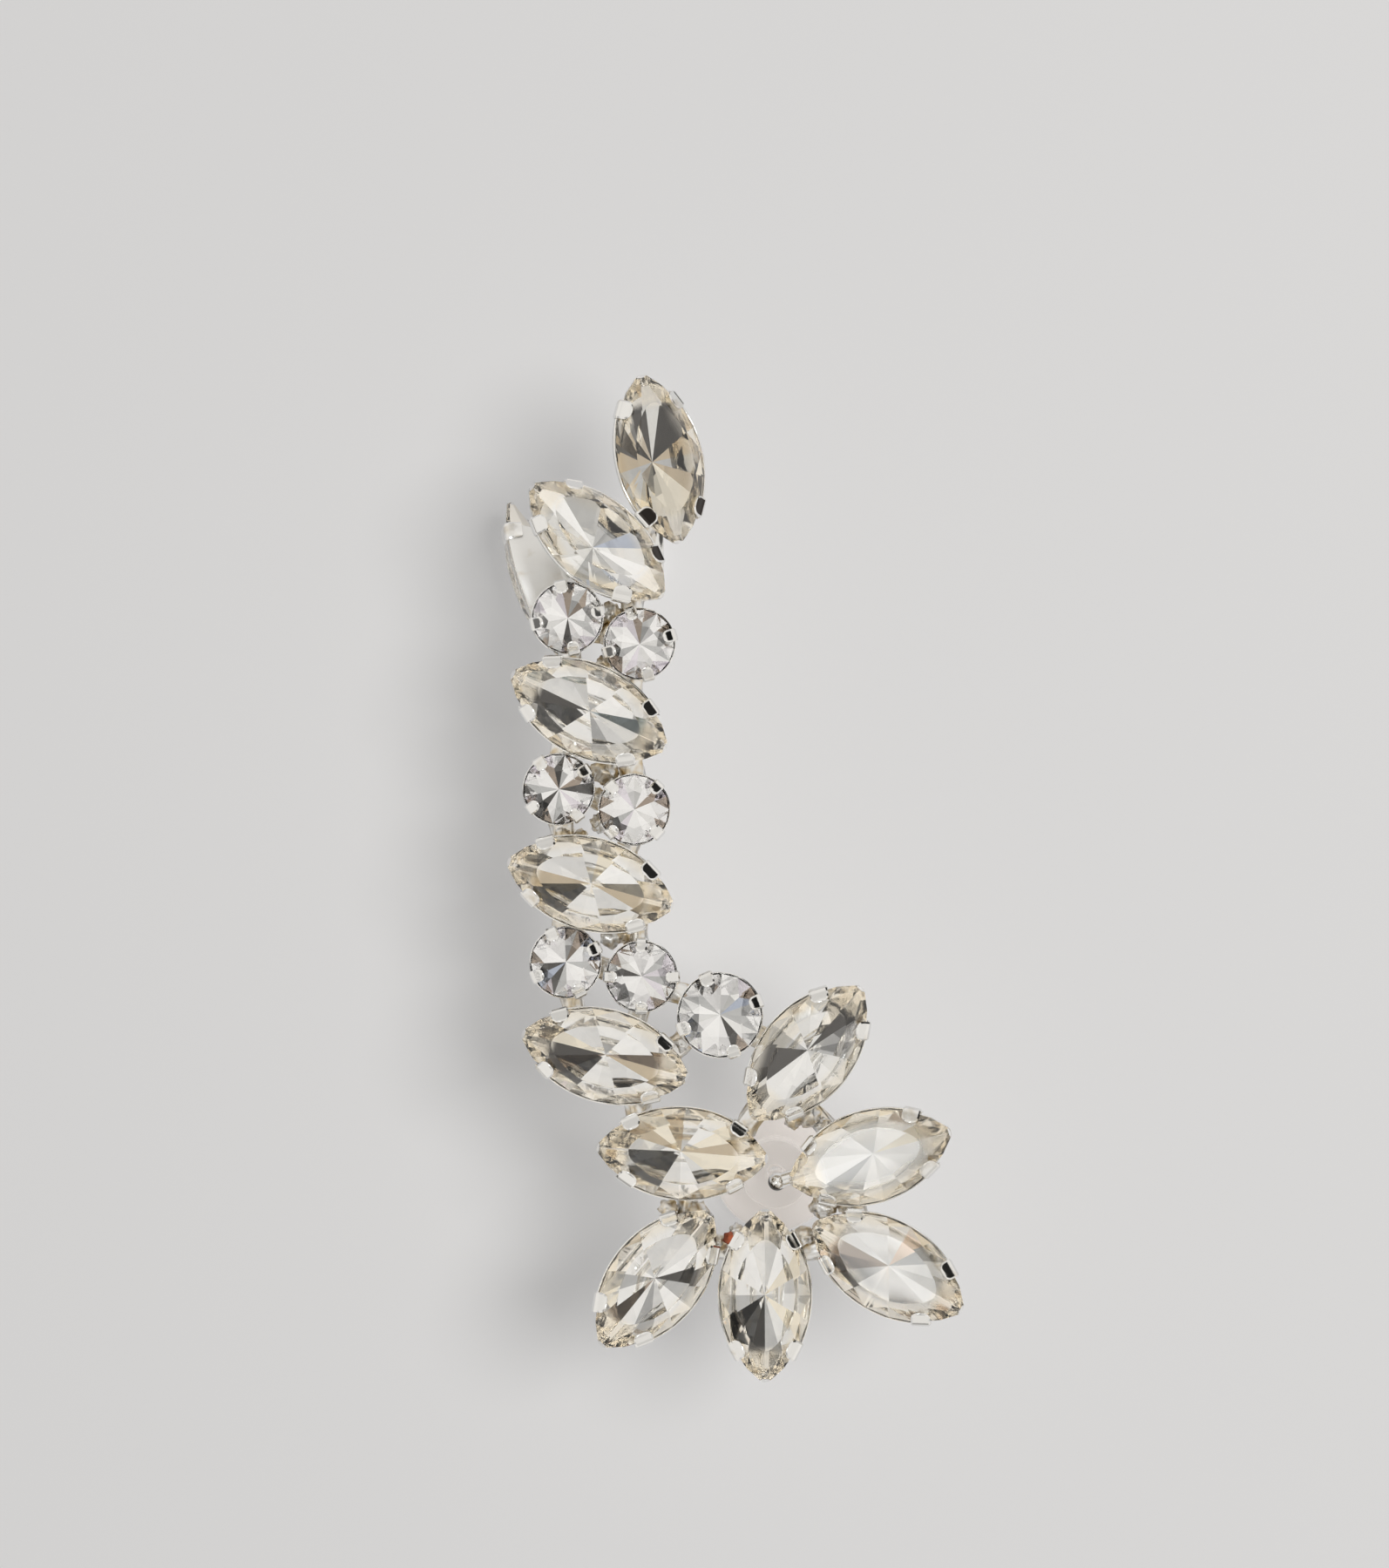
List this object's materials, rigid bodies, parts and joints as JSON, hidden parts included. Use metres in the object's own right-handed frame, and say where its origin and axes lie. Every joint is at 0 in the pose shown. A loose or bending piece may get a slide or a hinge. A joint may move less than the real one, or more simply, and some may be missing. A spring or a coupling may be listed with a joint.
{
  "type": "ear climber",
  "caption": "Crystal ear climber: a curved row of marquise and round stones in silver claw cups, ending in an open flower over the ear post.",
  "frame": {"origin": "middle of the bounding box, on the surface that the piece lies on", "axes": "+Z is the way the stones face, +Y runs along the row from the flower to the top stone, and +X points right when the stones face the viewer and the top stone is up"},
  "size_m": [0.0264, 0.0566, 0.0126],
  "materials": {
    "silver_plate": "bright silver plate on stamped cups, folded claws, band and post, with small warm solder spots",
    "crystal": "clear faceted crystal with a silvered back, warm champagne tint at the rims",
    "clear_plastic": "clear, slightly milky soft plastic"
  },
  "bodies": {
    "root": {"setting_frame": "silver_plate", "clutch": "clear_plastic", "top_stone": "crystal", "curl_stone_front": "crystal", "curl_stone_back": "crystal", "round_stone_1": "crystal", "round_stone_2": "crystal", "row_stone_1": "crystal", "round_stone_3": "crystal", "round_stone_4": "crystal", "row_stone_2": "crystal", "round_stone_5": "crystal", "round_stone_6": "crystal", "row_stone_3": "crystal", "large_round_stone": "crystal", "petal_stone_1": "crystal", "petal_stone_2": "crystal", "petal_stone_3": "crystal", "petal_stone_4": "crystal", "petal_stone_5": "crystal", "petal_stone_6": "crystal"}
  },
  "joints": []
}
